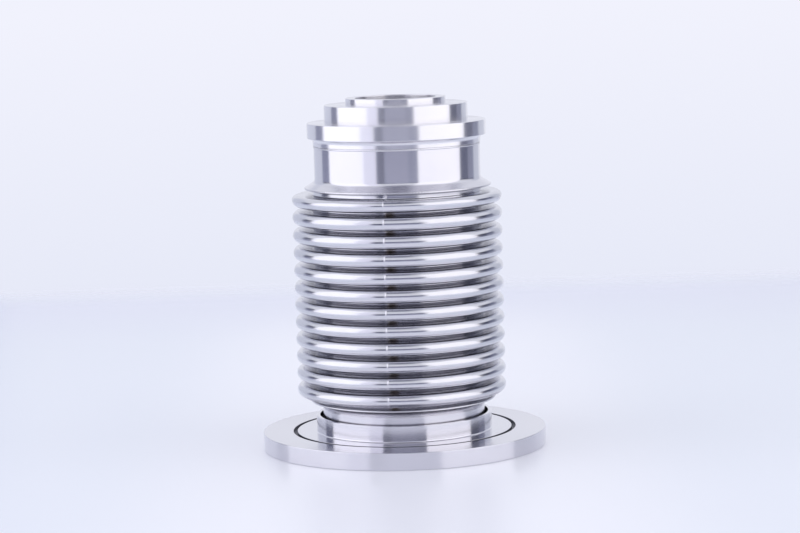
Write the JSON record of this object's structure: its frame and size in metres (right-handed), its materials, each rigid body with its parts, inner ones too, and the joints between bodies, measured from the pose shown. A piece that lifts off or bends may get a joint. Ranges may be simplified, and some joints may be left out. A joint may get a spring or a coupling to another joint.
{
  "type": "vacuum bellows hose",
  "caption": "Straight hydroformed metal bellows with flared weld sleeves, a plain grooved clamp flange at the foot and a stepped adapter with a through bore at the head.",
  "frame": {"origin": "centre of the flange's sealing face, at the foot of the part", "axes": "+Z along the bellows axis from the flange to the adapter's nose; X and Y are equal, as every piece is turned or formed round Z"},
  "size_m": [0.115, 0.115, 0.1418],
  "materials": {
    "turned_steel": "fine turned, bright",
    "sleeve_steel": "polished tube",
    "bellows_sheet": "bright formed sheet, satin",
    "weld_metal": "bright fused bead"
  },
  "bodies": {
    "base": {"base_flange": "turned_steel", "flange_weld": "weld_metal", "lower_sleeve": "sleeve_steel", "lower_bellows_weld": "weld_metal", "bellows": "bellows_sheet"},
    "top": {"upper_bellows_weld": "weld_metal", "upper_sleeve": "sleeve_steel", "adapter_weld": "weld_metal", "top_adapter": "turned_steel"}
  },
  "joints": [
    {"name": "bellows_stroke", "type": "slide", "parent": "base", "child": "top", "axis": [0, 0, 1], "range_m": [-0.012, 0.008], "stiffness_N_per_m": 20000, "deforming": ["bellows"]}
  ]
}
